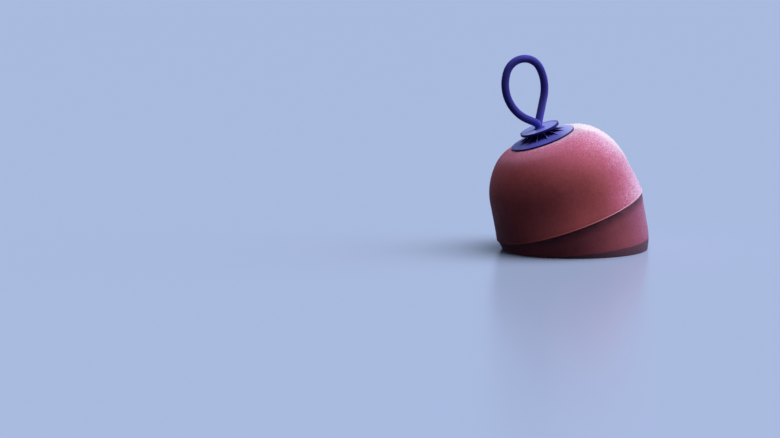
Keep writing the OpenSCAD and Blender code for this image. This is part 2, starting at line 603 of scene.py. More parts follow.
@dataclass(frozen=True)
class FloatFinish:
    """Red moulded polyethylene, dulled by the sun, with a veil of frost on its windward side, and painted
    light and shade: lit bands, a shaded lee side, a rosier top and a shadow under the lip.
    """

    name: str = "float_red_moulded"
    red: Colour = (0.432, 0.093, 0.106)
    deep: Colour = (0.360, 0.073, 0.082)
    dull: Colour = (0.230, 0.048, 0.060)
    # Paler red: painted light in the lit bands, and the real pale flecks
    bleached_and_lit: Colour = (0.620, 0.135, 0.150)
    # Darker red: painted shade on the lee side
    lee_shade: Colour = (0.100, 0.030, 0.040)
    # Rose: the tint of a thin veil, and painted sky light on faces that turn up
    rose_veil_and_sky_light: Colour = (0.600, 0.130, 0.268)
    frost: Colour = (0.800, 0.650, 0.890)
    # Pale pink for the lip: rubbed wear and a painted highlight along its edge
    rubbed_and_lit: Colour = (0.800, 0.480, 0.600)
    # Painted shadow under the lip's overhang
    lip_shadow: Colour = (0.048, 0.022, 0.036)
    # Cold dark tint: painted shade over the lower half, stronger to windward
    lower_shade: Colour = (0.110, 0.085, 0.185)
    wet: Colour = (0.098, 0.056, 0.084)
    sheen_tint: Colour = (0.84, 0.72, 1.0)
    # The plastic's own clouds, specks and stains
    patches: Grain = Grain(70 * MM, 3.0, 0.5, 0.25, 0.75)
    specks: Grain = Grain(2.4 * MM, 3.0, 0.7, 0.54, 0.74, full=0.34)
    stains: Grain = Grain(16 * MM, 5.0, 0.72, 0.46, 0.70, full=0.30)
    # Painted light and shade: a paler lit band over the lip, painted shade on the lee side, and a paler band
    # of painted light low on the lower half
    lee_from: Direction = (-0.97, 0.24, 0.0)
    lit_band_lee: Ramp = (0.30, 0.72, 1.0, 0.0)
    lit_band_wind: Ramp = (-0.42, -0.05)
    lit_band_high: Ramp = (8 * MM, 85 * MM, 0.85, 0.0)
    lee_shade_turn: Ramp = (0.55, 0.95, 0.0, 0.75)
    lee_shade_high: Ramp = (30 * MM, 150 * MM, 1.0, 0.0)
    low_lit_high: Ramp = (-75 * MM, -40 * MM, 0.34, 0.0)
    low_lit_lee: Ramp = (0.60, 0.95, 1.0, 0.3)
    # The veil of frost, thicker by the flange, over the lip and at the back
    frost_from: Direction = RIME_FROM
    cloud: Noise = (24 * MM, 4.0, 0.6, 0.28)
    near_flange: Ramp = (85 * MM, 125 * MM, 0.22, 0.0)
    near_lip: Ramp = (10 * MM, 70 * MM, 0.15, 0.0)
    back_crust: Ramp = (-0.10, 0.50)
    back_turn: Ramp = (0.10, 0.55)
    back_share: float = 0.85
    # How the veil colours the red, first rose and then white; the rose is also painted sky light on faces
    # that turn up
    sky_light_from: Direction = (0.15, 0.10, 0.98)
    sky_light_turn: Ramp = (0.15, 0.90)
    rosy: Ramp = (-0.15, 0.60)
    rose_share: float = 0.9
    frosted: Ramp = (0.10, 1.12)
    clumps: Noise = (3.6 * MM, 4.0, 0.75)
    clump_share: Ramp = (0.0, 0.5, 0.3, 1.15)
    clumped: Ramp = (0.0, 1.05)
    grains: Grain = Grain(4.2 * MM, 3.0, 0.75, 0.40, 0.60, 0.66, 1.20)
    frost_share: float = 0.95
    crown_out: Ramp = (85 * MM, 150 * MM, 0.30, 0.0)
    crown_wind: Ramp = (-0.10, 0.50, 1.0, 0.0)
    # Fine spots and flecks, and bare places in the frost
    spotting: Noise = (4.4 * MM, 4.0, 0.8)
    spot_share: float = 0.24
    spot_rosy_share: float = 0.22
    fleck_share: float = 0.8
    spots: Ramp = (0.49, 0.62)
    flecks: Ramp = (0.37, 0.49, 1.0, 0.0)
    fleck_wind: Ramp = (0.0, 0.6)
    bare: Grain = Grain(4 * MM, 3.0, 0.75, 0.57, 0.66)
    bare_wind: Ramp = (0.25, 0.75, 0.0, 0.5)
    # The lip's rubbed wear and painted highlight, the painted shade over the lower half, and the painted
    # shadow under the lip
    lip_foot: Ramp = (0.1 * MM, 0.6 * MM)
    lip_head: Ramp = (2.0 * MM, 3.2 * MM, 1.0, 0.0)
    lip_worn: Grain = Grain(9 * MM, 3.0, 0.6, 0.30, 0.60, 0.45, 0.75)
    lip_wind: Ramp = (-0.35, 0.38)
    lower_shade_wind: Ramp = (-0.30, 0.60, 0.15, 0.40)
    lip_shadow_high: Ramp = (-34 * MM, -2 * MM, 0.0, 0.84)
    lip_shadow_patches: Grain = Grain(30 * MM, 4.0, 0.6, 0.25, 0.65, 0.65, 1.0)
    # The glazed band over the water
    wet_slope: float = 0.100
    wet_from: float = -140 * MM
    wet_high: float = 29 * MM
    wet_wave: Noise = (34 * MM, 3.0, 0.6, 5 * MM)
    wet_edge: Ramp = (-1.4 * MM, 1.0 * MM)
    wet_share: float = 0.88
    wet_smooth: float = 0.06
    wet_level: float = 0.7
    # The relief: blotches, a grain and a finer one, and the frost's own
    blotches: Noise = (12 * MM, 4.0, 0.65)
    blotched: Relief = (0.30 * MM, 0.5)
    rough: Ramp = (0.3, 0.7, 0.62, 0.76)
    grain: Noise = (1.5 * MM, 2.0, 0.6)
    grain_share: float = 0.6
    fine: Noise = (0.6 * MM, 1.0, 0.5)
    fine_share: float = 0.3
    frost_rise: float = 0.8
    grained: Relief = (0.32 * MM, 0.6)

    def wet_band(self, s: Sheet) -> Socket:
        """Finds the glazed band over the water, which stands higher on the side that leans in.

        Args:
            s: The finish's sheet.

        Returns:
            How wet the surface is, from 0 to 1.
        """
        out = s.math("SUBTRACT", s.along((1.0, 0.0, 0.0)), self.wet_from)
        high = s.math("MINIMUM", s.product(out, self.wet_slope), self.wet_high)
        line = s.math("ADD", high, s.waves(*self.wet_wave))
        return s.ease(s.math("SUBTRACT", line, s.along(UP)), *self.wet_edge)

    def veil(self, s: Sheet) -> Socket:
        """Finds how far the surface faces the frost, thicker by the flange and above the lip.

        Args:
            s: The finish's sheet.

        Returns:
            The share of a full veil, from below 0 to above 1.
        """
        above = s.beyond_seam(AXIS.direction())
        on_top = s.math("GREATER_THAN", above, 0.0)
        low = s.product(s.ease(above, *self.near_lip), on_top)
        near = s.product(s.ease(s.off_axis(), *self.near_flange), on_top)
        # At the back the frost runs out from under the crust of rime
        behind = s.ease(s.towards(CRUST_FROM), *self.back_crust)
        behind = s.product(behind, s.ease(s.towards(BACK), *self.back_turn))
        near = s.math("ADD", near, s.product(behind, on_top, self.back_share))
        windward = s.math("ADD", s.towards(self.frost_from), s.waves(*self.cloud))
        return s.math("ADD", windward, s.math("ADD", near, low))

    def lit_and_shaded(self, s: Sheet, colour: Socket, above: Socket) -> Socket:
        """Paints light on the red as a paler band over the lip and low on the lower half, and paints shade on
        the lee side.

        Args:
            s: The finish's sheet.
            colour: The clean red.
            above: The height over the seam.

        Returns:
            The red with its painted light and shade.
        """
        lee = s.towards(self.lee_from)
        # Painted light: a paler band just over the lip, on the faces between the lee side and the windward
        # side
        lit_band = s.product(s.ease(lee, *self.lit_band_lee), s.ease(lee, *self.lit_band_wind))
        over = s.math("GREATER_THAN", above, 0.0)
        colour = s.layer(colour, self.bleached_and_lit, lit_band, s.ease(above, *self.lit_band_high), over)
        # Painted shade: the lee side darkened, most strongly low down
        colour = s.layer(colour, self.lee_shade, s.ease(lee, *self.lee_shade_turn), s.ease(above, *self.lee_shade_high))
        # Painted light: a paler band low on the lower half, weaker on the lee side
        return s.layer(colour, self.bleached_and_lit, s.ease(above, *self.low_lit_high), s.ease(lee, *self.low_lit_lee))

    def veiled(self, s: Sheet, colour: Socket, windward: Socket, rosy: Socket) -> tuple[Socket, Socket]:
        """Lays the veil over the red: it thickens towards the wind and breaks up into grains.

        Args:
            s: The finish's sheet.
            colour: The red with its painted light and shade.
            windward: The share of a full veil.
            rosy: How far a thin veil, and painted sky light on faces that turn up, have turned the red to
                rose.

        Returns:
            The veiled colour, and the frost's own share of it.
        """
        colour = s.layer(colour, self.rose_veil_and_sky_light, rosy, self.rose_share)
        cover = s.ease(windward, *self.frosted)
        clumps = s.math("SUBTRACT", s.noise(*self.clumps), 0.5)
        lumpy = s.math("ADD", cover, s.product(clumps, s.ease(cover, *self.clump_share)))
        frost = s.product(s.ease(lumpy, *self.clumped), s.grain(self.grains))
        frost = s.math("MINIMUM", frost, 1.0)
        colour = s.layer(colour, self.frost, frost, self.frost_share)
        crown = s.ease(s.off_axis(), *self.crown_out)
        crown = s.product(crown, s.math("GREATER_THAN", s.towards(AXIS.direction()), 0.0))
        return s.layer(colour, self.frost, crown, s.ease(windward, *self.crown_wind)), frost

    def spotted(self, s: Sheet, colour: Socket, windward: Socket, rosy: Socket) -> Socket:
        """Breaks the colour up into dark spots, pale flecks and bare places.

        Args:
            s: The finish's sheet.
            colour: The veiled colour.
            windward: The share of a full veil.
            rosy: How far a thin veil, and painted sky light on faces that turn up, have turned the red to
                rose.

        Returns:
            The spotted colour.
        """
        spotting = s.noise(*self.spotting)
        reach = s.math("ADD", s.product(rosy, self.spot_rosy_share), self.spot_share)
        colour = s.layer(colour, self.dull, s.ease(spotting, *self.spots), reach)
        reach = s.product(reach, self.fleck_share)
        pale = s.blend(s.ease(windward, *self.fleck_wind), self.bleached_and_lit, self.frost)
        colour = s.layer(colour, pale, s.ease(spotting, *self.flecks), reach)
        return s.layer(colour, self.red, s.grain(self.bare), s.ease(windward, *self.bare_wind))

    def seamed(self, s: Sheet, colour: Socket, windward: Socket, above: Socket) -> Socket:
        """Pales the lip with rubbed wear and a painted highlight, and paints shade over the lower half and a
        shadow under the lip.

        Args:
            s: The finish's sheet.
            colour: The spotted colour.
            windward: The share of a full veil.
            above: The height over the seam.

        Returns:
            The colour with the seam's wear, painted highlight and painted shade.
        """
        lip = s.product(s.ease(above, *self.lip_foot), s.ease(above, *self.lip_head), s.grain(self.lip_worn))
        # The lip's rubbed wear and painted highlight, on its windward side
        colour = s.layer(colour, self.rubbed_and_lit, lip, s.ease(windward, *self.lip_wind))
        under = s.math("LESS_THAN", above, 0.0)
        # Painted shade with a cold tint over the lower half, stronger to windward
        colour = s.layer(colour, self.lower_shade, under, s.ease(windward, *self.lower_shade_wind))
        # Painted shadow: darkest just under the lip, fading lower down, broken up by patches
        return s.layer(colour, self.lip_shadow, s.ease(above, *self.lip_shadow_high), under, s.grain(self.lip_shadow_patches))

    def build(self) -> bpy.types.Material:
        """Builds the finish.

        Returns:
            Its material.
        """
        s = Sheet(self.name)
        above = s.beyond_seam(AXIS.direction())
        windward = self.veil(s)
        # Painted sky light: rose on faces that turn up; then rose where the veil is thin
        rosy = s.ease(s.towards(self.sky_light_from), *self.sky_light_turn)
        rosy = s.math("MAXIMUM", s.ease(windward, *self.rosy), rosy)

        colour = s.blend(s.grain(self.patches), self.deep, self.red)
        for marks in (self.specks, self.stains):
            colour = s.layer(colour, self.dull, s.grain(marks))
        colour = self.lit_and_shaded(s, colour, above)
        colour, frost = self.veiled(s, colour, windward, rosy)
        colour = self.spotted(s, colour, windward, rosy)
        colour = self.seamed(s, colour, windward, above)
        wet = self.wet_band(s)
        colour = s.layer(colour, self.wet, wet, self.wet_share)

        blotches = s.noise(*self.blotches)
        rough = s.math("SUBTRACT", s.ease(blotches, *self.rough), s.product(wet, self.wet_smooth))
        grains = s.product(s.noise(*self.grain), self.grain_share)
        fine = s.product(s.noise(*self.fine), self.fine_share)
        height = s.math("ADD", grains, fine, s.product(frost, self.frost_rise))
        dry = s.math("SUBTRACT", 1.0, s.product(wet, self.wet_level))
        normal = s.bump(s.product(height, dry), *self.grained)
        normal = s.bump(blotches, *self.blotched, after=normal)
        return s.finish(
            Base_Color=colour, Roughness=rough, Normal=normal, IOR=1.49,
            Specular_IOR_Level=0.15, Sheen_Weight=0.06, Sheen_Roughness=0.45, Sheen_Tint=self.sheen_tint,
        )


@dataclass(frozen=True)
class BlueFinish:
    """Blue plastic, moulded in the flanges or dipped on the bar, with a glaze of ice on its flat faces, and
    painted light and shade.
    """

    name: str
    blue: Colour
    deep: Colour
    # Paler blue for the scuffs, and for the painted light on the lapped arm
    pale: Colour = (0.200, 0.190, 0.700)
    # Painted highlight colour for the ribs' crests
    crest: Colour = (0.400, 0.390, 0.930)
    shade: Colour = (0.012, 0.012, 0.080)
    gloss: float = 0.42
    gloss_spread: tuple[float, float] = (-0.05, 0.08)
    shine: float = 0.4
    glaze: float = 0.0
    # The moulding's clouds and scuffs, its peel, its grain and its pits
    clouds: Grain = Grain(26 * MM, 4.0, 0.6, 0.3, 0.7)
    scuff_share: float = 0.22
    scuffs: Noise = (5 * MM, 5.0, 0.75)
    scuff_stretch: Direction = (1.0, 2.6, 1.0)
    scuffed: Ramp = (0.54, 0.70)
    peel: Noise = (4.0 * MM, 2.0, 0.5)
    peel_limits: Ramp = (0.3, 0.7)
    peeled: Relief = (0.20 * MM, 0.4)
    grain: Noise = (0.9 * MM, 2.0, 0.6)
    grained: Relief = (0.07 * MM, 0.5)
    pit_size: float = 11 * MM
    pit_limits: Ramp = (0.05, 0.11, 1.0, 0.0)
    pit_share: float = 0.55
    pitted: Relief = (0.35 * MM, 0.5)
    # Frost on the side away from the lean, partly painted light on that side, broken up at its edge
    frosted: Optional[Colour] = None
    frost_out: Ramp = (0.0, 1.0)
    frost_broken: Noise = (3 * MM, 3.0, 0.7, 30 * MM)
    # Painted highlight on the ribs' crests, on faces that lie across the axis
    crest_highlight_share: float = 0.0
    crest_highlight_high: Ramp = (0.5 * MM, 1.5 * MM)
    crest_highlight_flat: Ramp = (0.76, 0.86)
    # Painted light: a paler band down the face of the lapped arm
    lit_arm_share: float = 0.0
    arm_out: Ramp = (0.0, 9 * MM)
    arm_from: Ramp = (248 * MM, 262 * MM)
    arm_to: Ramp = (285 * MM, 345 * MM, 1.0, 0.0)
    # Painted shade on the side faces and along the outer edge
    side_share: float = 0.0
    side_turn: Ramp = (0.74, 0.965, 1.0, 0.0)
    edge_r: float = 0.0
    edge_share: float = 0.0
    edge_w: float = 2.6 * MM
    edge_end: float = 1.2 * MM
    glaze_flat: tuple[float, float] = (0.80, 0.96)

    def build(self) -> bpy.types.Material:
        """Builds the finish.

        Returns:
            Its material.
        """
        s = Sheet(self.name)
        peel = s.noise(*self.peel)
        colour = s.blend(s.grain(self.clouds), self.deep, self.blue)
        scuffs = s.noise(*self.scuffs, s.stretch(s.coords(), self.scuff_stretch))
        colour = s.layer(colour, self.pale, s.ease(scuffs, *self.scuffed), self.scuff_share)
        pits = s.ease(s.cells(self.pit_size), *self.pit_limits)
        colour = s.layer(colour, self.deep, pits, self.pit_share)
        colour = self.frost_light_and_shade(s, colour)
        rough = s.ease(peel, *self.peel_limits, *(self.gloss + off for off in self.gloss_spread))
        normal = s.bump(peel, *self.peeled)
        normal = s.bump(s.noise(*self.grain), *self.grained, after=normal)
        normal = s.bump(s.math("SUBTRACT", 1.0, pits), *self.pitted, after=normal)
        return s.finish(
            Base_Color=colour, Roughness=rough, Normal=normal, IOR=1.5, Specular_IOR_Level=self.shine,
            Coat_Roughness=0.20, Coat_IOR=1.5,
        )

    def frost_light_and_shade(self, s: Sheet, colour: Socket) -> Socket:
        """Adds frost that is partly painted light, a painted highlight on the rib crests and the lapped arm,
        and painted shade on the sides and the edge.

        Args:
            s: The finish's sheet.
            colour: The clean colour.

        Returns:
            The colour with its frost and painted light and shade.
        """
        placed = AXIS.matrix()
        out = s.beyond_seam(placed.to_3x3() @ Vector((1.0, 0.0, 0.0)))
        across = s.math("ABSOLUTE", s.towards(AXIS.direction()))
        if self.frosted is not None:
            # Frost and painted light: paler towards the side away from the lean, where the light comes from
            broken = s.math("ADD", out, s.waves(*self.frost_broken))
            colour = s.layer(colour, self.frosted, s.ease(broken, *self.frost_out))
        if self.crest_highlight_share > 0.0:
            dish = placed @ Vector((0.0, 0.0, Flanges.crown_centre))
            plate = Flanges.crown_r + Flanges.seat + Flanges.thick
            # Painted highlight: the crests of the ribs, standing off the crown
            crest = s.ease(s.off_point(dish), *(plate + high for high in self.crest_highlight_high))
            colour = s.layer(colour, self.crest, crest, s.ease(across, *self.crest_highlight_flat), self.crest_highlight_share)
        if self.lit_arm_share > 0.0:
            high = s.beyond_seam(AXIS.direction())
            # Painted light: the lapped arm's face made paler between two heights
            lit_arm = s.product(s.ease(out, *self.arm_out), s.ease(high, *self.arm_from))
            colour = s.layer(colour, self.pale, lit_arm, s.ease(high, *self.arm_to), self.lit_arm_share)
        if self.side_share > 0.0:
            # Painted shade: faces that don't lie across the axis are darkened
            colour = s.layer(colour, self.shade, s.ease(across, *self.side_turn), self.side_share)
            # Painted shade: a dark ring along the outer edge, where the coat is also left off
            edge = s.ease(s.off_axis(), self.edge_r - self.edge_w, self.edge_r - self.edge_end)
            colour = s.layer(colour, self.shade, edge, self.edge_share)
            glaze = s.ease(across, *self.glaze_flat, 0.0, self.glaze)
            s.feed(s.shader.inputs["Coat Weight"], s.product(glaze, s.math("SUBTRACT", 1.0, edge)))
        return colour


@dataclass(frozen=True)
class RimeFinish:
    """White rime grains, part ice, with the float's red showing through."""

    name: str = "rime_white"
    white: Colour = (0.93, 0.85, 0.91)
    tint: Colour = (0.76, 0.66, 0.73)
    thin: Colour = (0.67, 0.40, 0.56)
    bare: Colour = (0.52, 0.17, 0.26)
    cloud: Noise = (9 * MM, 4.0, 0.7, 90 * MM)
    whitest: Ramp = (100 * MM, 150 * MM, 1.0, 0.0)
    grains: Grain = Grain(4 * MM, 3.0, 0.7, 0.36, 0.60, 0.70, 1.0)
    thinned: Ramp = (140 * MM, 170 * MM, 1.0, 0.0)
    low: Ramp = (205 * MM, 275 * MM, 1.0, 0.0)
    aside: Ramp = (0.45, 0.88, 1.0, 0.0)
    gaps: Grain = Grain(3 * MM, 3.0, 0.75, 0.38, 0.58, 0.55, 1.0)
    bare_spots: Grain = Grain(4 * MM, 3.0, 0.75, 0.60, 0.68, full=0.45)
    grain: Noise = (0.6 * MM, 2.0, 0.6)
    grained: Relief = (0.2 * MM, 0.6)

    def build(self) -> bpy.types.Material:
        """Builds the finish.

        Returns:
            Its material.
        """
        s = Sheet(self.name)
        white = s.ease(s.math("ADD", s.off_axis(), s.waves(*self.cloud)), *self.whitest)
        colour = s.layer(self.tint, self.white, white, s.grain(self.grains))
        # Where it thins out, the red shows through between the grains
        thin = s.ease(s.along(CRUST_FROM), *self.thinned)
        low = s.ease(s.along(UP), *self.low)
        aside = s.product(low, s.ease(s.towards(CRUST_FROM), *self.aside))
        colour = s.layer(colour, self.thin, s.math("MAXIMUM", thin, aside), s.grain(self.gaps))
        colour = s.layer(colour, self.bare, s.grain(self.bare_spots))
        normal = s.bump(s.noise(*self.grain), *self.grained)
        return s.finish(Base_Color=colour, Roughness=0.45, Normal=normal, IOR=1.31)


@dataclass
class Float:
    """The two-half float: its section, its lip at the seam and its uneven moulded skin."""

    rim_r: float = 199.9 * MM
    seam_lap: float = 2.0 * MM
    half_h: float = 220.5 * MM
    draft: float = 8.5
    haunch_r: float = 162 * MM
    haunch_end: float = 47.0
    shoulder_r: float = 85 * MM
    crown_r: float = 500 * MM
    core_r: float = 12.5 * MM
    lip_h: float = 7 * MM
    # The lip's section: the way up the side and how far the surface stands off it, in mm
    lip_rows: tuple[tuple[float, float], ...] = (
        (0.0, -2.6), (0.0, -1.2), (0.08, -0.4), (0.30, 0.15), (0.70, 0.48), (1.20, 0.60),
        (1.80, 0.55), (2.40, 0.35), (3.00, 0.12), (3.70, -0.02), (4.80, -0.05), (6.20, 0.0),
    )
    # The lower half's shoulder, eased back so that the lip keeps a dark line over it: back and up, in mm
    shoulder_rows: tuple[tuple[float, float], ...] = (
        (-3.2, 0.0), (-2.0, 0.35), (-1.1, 1.1), (-0.55, 2.2), (-0.30, 3.6),
    )
    segments: int = 240
    arc_step: float = 1.2
    crown_finer: int = 3
    face_step: float = 8 * MM
    straight_step: float = 3 * MM
    wall_step: float = 12 * MM
    swell: float = 0.35 * MM
    # The skin's swells and the ripples on them, per metre, and the ripples' share
    swells: float = 14.0
    ripples: float = 38.0
    ripple_share: float = 0.4
    seeds: tuple[Direction, Direction] = ((3.1, 7.7, 1.3), (8.2, 2.4, 6.1))
    pieces: list[bpy.types.Object] = field(default_factory=list)

    def side(self, rim_r: float) -> list[Vector]:
        """Draws a half's outer side from the seam to the core.

        Args:
            rim_r: The radius of the side at the seam.

        Returns:
            The points from the side's end up to the crown's middle.
        """
        slope = Vector((-math.sin(math.radians(self.draft)), math.cos(math.radians(self.draft))))
        start = (
            Vector((rim_r, 0.0))
            - self.haunch_r * facing(self.draft)
            + (self.haunch_r - self.shoulder_r) * facing(self.haunch_end)
        )
        crown = Vector((0.0, self.half_h - self.crown_r))
        to_start = start - crown
        along = to_start.dot(slope)
        reach = self.crown_r - self.shoulder_r
        shoulder = start + slope * (math.sqrt(along * along - to_start.dot(to_start) + reach * reach) - along)
        haunch = shoulder - (self.haunch_r - self.shoulder_r) * facing(self.haunch_end)
        to_shoulder = shoulder - crown
        crown_edge = math.degrees(math.atan2(to_shoulder.y, to_shoulder.x))
        core_edge = 90.0 - math.degrees(math.asin(self.core_r / self.crown_r))
        points = arc_points(haunch, self.haunch_r, self.draft, self.haunch_end, self.arc_step)
        points += arc_points(shoulder, self.shoulder_r, self.haunch_end, crown_edge, self.arc_step)[1:]
        crown_step = self.arc_step / self.crown_finer
        points += arc_points(crown, self.crown_r, crown_edge, core_edge, crown_step)[1:]
        return points

    def outline(self, end: End) -> list[Vector]:
        """Draws the closed outline of one half.

        Args:
            end: Which half it is.

        Returns:
            The outline, from the core at the seam outwards and over the crown.
        """
        rim_r = self.rim_r if end is End.TOP else self.rim_r - self.seam_lap
        side = self.side(rim_r)
        core = [Vector((self.core_r, 0.0))]
        if end is End.TOP:
            rim = self.lip(rim_r, side[0])
        else:
            rim = [Vector((rim_r + back * MM, up * MM)) for back, up in self.shoulder_rows]
        face = finer(core + [rim[0]], self.face_step)
        straight = finer([rim[-1], side[0]], self.straight_step)
        wall = finer([side[-1], core[0]], self.wall_step)
        return face[:-1] + rim[:-1] + straight[:-1] + side[:-1] + wall[:-1]

    def lip(self, rim_r: float, side_start: Vector) -> list[Vector]:
        """Draws the rolled lip at the seam and the faint groove above it.

        Args:
            rim_r: The radius of the side at the seam.
            side_start: Where the straight side ends above the lip.

        Returns:
            The points from the lip's under edge to the side above the groove.
        """
        slope = (side_start - Vector((rim_r, 0.0))).normalized()
        out = Vector((slope.y, -slope.x))
        base = Vector((rim_r, 0.0))
        return [base + slope * (up * MM) + out * (off * MM) for up, off in self.lip_rows]

    def uneven(self, end: End) -> Callable[[Vector], Vector]:
        """Makes the skin gently uneven, as a rotational moulding is.

        Args:
            end: Which half it is.

        Returns:
            A function that moves a point of the skin inwards or outwards.
        """
        seed = Vector(self.seeds[0 if end is End.TOP else 1])

        def shift(point: Vector) -> Vector:
            """Moves a point of the skin in or out, but not by the core or the lip.

            Args:
                point: The point on the true section.

            Returns:
                The point on the uneven skin.
            """
            radius = math.hypot(point.x, point.y)
            share = held((radius - 3 * self.core_r) / (3 * self.core_r))
            share *= held((point.z - 1.5 * self.lip_h) / (2 * self.lip_h))
            off = noise.noise(point * self.swells + seed)
            off += self.ripple_share * noise.noise(point * self.ripples + seed)
            return point + point.normalized() * ((off - 1.0) * self.swell * share)

        return shift

    def build(self) -> None:
        """Builds both halves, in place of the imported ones."""
        for end, name in ((End.TOP, "float_upper"), (End.BOTTOM, "float_lower")):
            mesh = revolve(self.outline(end), self.segments, self.uneven(end))
            piece = make_object(f"{name}_skin", mesh, AXIS.matrix(end))
            place(piece, Body.FLOAT, Slot.FLOAT_RED, name)
            self.pieces.append(piece)

    def dress(self) -> None:
        """Gives both halves the float's finish."""
        wear(FloatFinish().build(), *self.pieces)


@dataclass
class RimeCrust:
    """The crust of rime grains on the float's windward shoulder."""

    body: Float
    # The grid: its cells, the least step as a share of one, how high and how far out it starts, its turn
    cell: float = 1.5 * MM
    least_cell: float = 0.8
    from_up: float = 14 * MM
    from_out: float = 78 * MM
    half_angle: float = 95.0
    # How far a face must turn to the wind for some crust and for all of it, and the waves in that
    start_cover: float = 0.36
    full_cover: float = 0.72
    wave_share: float = 0.10
    waves: float = 26.0
    # How thick it is, how far its foot is sunk, the lowest part that is kept, and its underside
    thick: float = 3.4 * MM
    sunk: float = 1.0 * MM
    keep_above: float = -0.35 * MM
    underside: float = 0.9 * MM
    skim: float = 0.8
    # The lumps' heights in mm and how many there are to a metre, and how high they stand on thin crust
    lumps: tuple[tuple[float, float], ...] = ((0.5, 95.0), (1.2, 260.0), (1.2, 480.0))
    thin_lumps: float = 0.35
    back_from: float = 0.1
    piece: Optional[bpy.types.Object] = None

    def rows(self) -> list[tuple[Vector, Vector]]:
        """Samples the dome's section evenly.

        Returns:
            Each point and its outward direction, as a radius and a height.
        """
        line = self.body.side(self.body.rim_r)
        line = [Vector((self.body.rim_r, 0.0))] + line
        points = finer(line, self.cell)
        points = [p for p in points if p.y > self.from_up and p.x > self.from_out]
        even = [points[0]]
        for p in points[1:]:
            if (p - even[-1]).length >= self.cell * self.least_cell:
                even.append(p)
        out = []
        for i, p in enumerate(even):
            way = (even[min(i + 1, len(even) - 1)] - even[max(i - 1, 0)]).normalized()
            out.append((p, Vector((way.y, -way.x))))
        return out

    def height(self, point: Vector, normal: Vector, placed: Matrix, wind: Vector) -> float:
        """Gives how far the crust stands off the float.

        Args:
            point: The place on the float, in the buoy's frame.
            normal: The direction in which the float faces there.
            placed: The matrix to the row frame.
            wind: The direction that the rime comes from.

        Returns:
            Its height, which is below zero where there is none.
        """
        faces = (placed.to_3x3() @ normal).dot(wind) + self.wave_share * noise.noise(point * self.waves)
        cover = eased((faces - self.start_cover) / (self.full_cover - self.start_cover))
        lumps = sum(high * noise.noise(point * scale) for high, scale in self.lumps)
        return cover * self.thick - self.sunk + lumps * MM * (self.thin_lumps + cover)

    def build(self) -> None:
        """Builds the crust as closed patches that are sunk into the float's skin."""
        placed = AXIS.matrix()
        wind = Vector(CRUST_FROM).normalized()
        local = placed.to_3x3().inverted() @ wind
        middle = math.atan2(local.y, local.x)
        rows = self.rows()
        half = math.radians(self.half_angle)
        count = math.ceil(2 * half * self.body.rim_r / self.cell)
        top: list[list[Vector]] = []
        low: list[list[Vector]] = []
        high: list[list[float]] = []
        for p, out in rows:
            for grid in (top, low, high):
                grid.append([])
            for k in range(count + 1):
                turn = middle - half + 2 * half * k / count
                across = Vector((math.cos(turn), math.sin(turn), 0.0))
                point = across * p.x + Vector((0.0, 0.0, p.y))
                normal = across * out.x + Vector((0.0, 0.0, out.y))
                rise = self.height(point, normal, placed, wind)
                if normal.y > self.back_from:
                    # At the back the crust reaches no further than the float's lip
                    rise = min(rise, (self.body.rim_r - point.y) / normal.y)
                high[-1].append(rise)
                top[-1].append(point + normal * max(rise, -self.underside * self.skim))
                low[-1].append(point - normal * self.underside)
        keep = {
            (i, k)
            for i in range(len(rows) - 1)
            for k in range(count)
            if max(high[i][k], high[i + 1][k], high[i][k + 1], high[i + 1][k + 1]) > self.keep_above
        }
        mesh = bmesh.new()
        made: dict[tuple[int, int, bool], bmesh.types.BMVert] = {}

        def corner(i: int, k: int, upper: bool) -> bmesh.types.BMVert:
            """Gives a corner of the crust, and makes it when it is first asked for.

            Args:
                i: The corner's row.
                k: Its column.
                upper: Whether it is on the crust's outer side.

            Returns:
                The corner.
            """
            if (i, k, upper) not in made:
                made[i, k, upper] = mesh.verts.new((top if upper else low)[i][k])
            return made[i, k, upper]

        for i, k in keep:
            ring = ((i, k), (i + 1, k), (i + 1, k + 1), (i, k + 1))
            mesh.faces.new([corner(a, b, True) for a, b in ring])
            mesh.faces.new([corner(a, b, False) for a, b in reversed(ring)])
            beside = ((i, k - 1), (i + 1, k), (i, k + 1), (i - 1, k))
            edges = ((0, 1), (1, 2), (2, 3), (3, 0))
            for other, (a, b) in zip(beside, edges):
                if other not in keep:
                    (ia, ka), (ib, kb) = ring[a], ring[b]
                    outer = [corner(ib, kb, True), corner(ia, ka, True)]
                    mesh.faces.new(outer + [corner(ia, ka, False), corner(ib, kb, False)])
        self.piece = make_object("rime_crust", mesh, placed)
        place(self.piece, Body.FLOAT, Slot.FLOAT_RED)

    def dress(self) -> None:
        """Gives the crust the rime finish."""
        wear(RimeFinish().build(), self.piece)


